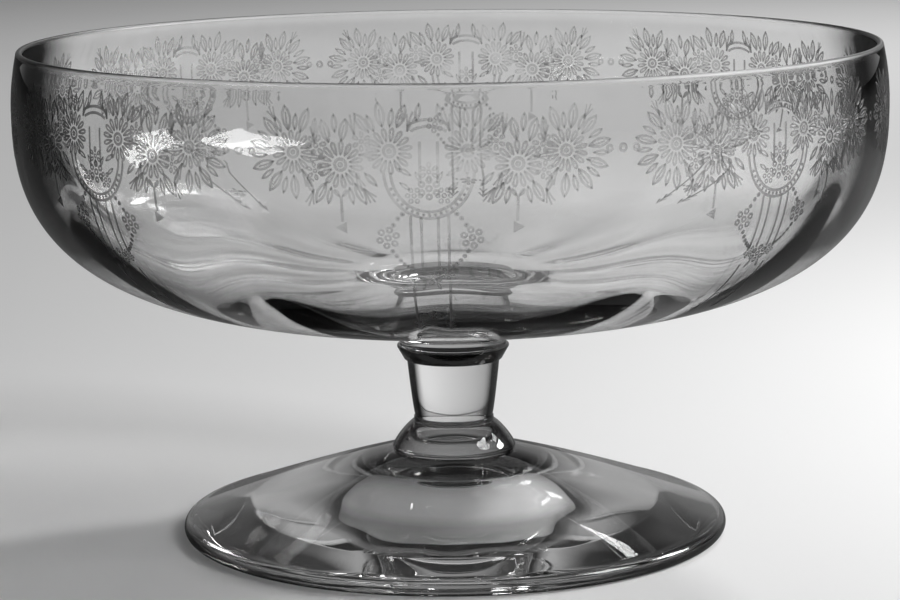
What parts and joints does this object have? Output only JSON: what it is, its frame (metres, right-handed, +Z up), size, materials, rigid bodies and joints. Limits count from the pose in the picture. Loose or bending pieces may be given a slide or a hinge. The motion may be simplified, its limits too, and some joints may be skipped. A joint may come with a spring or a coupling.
{
  "type": "footed glass bowl",
  "caption": "Wide shallow bowl of clear glass with an etched garland band, raised on a short stem with a knop and a broad conical foot, for serving fruit or sweets.",
  "frame": {"origin": "centre of the resting plane under the foot", "axes": "+Z up along the axis of the foot, stem and bowl; the object is turned, so X and Y are alike"},
  "size_m": [0.1804, 0.1804, 0.103],
  "materials": {
    "glass": "clear fire-polished glass, with a frosted etched pattern on the outside of the bowl"
  },
  "bodies": {
    "root": {"foot": "glass", "knop": "glass", "stem": "glass", "collar": "glass", "bowl": "glass"}
  },
  "joints": []
}
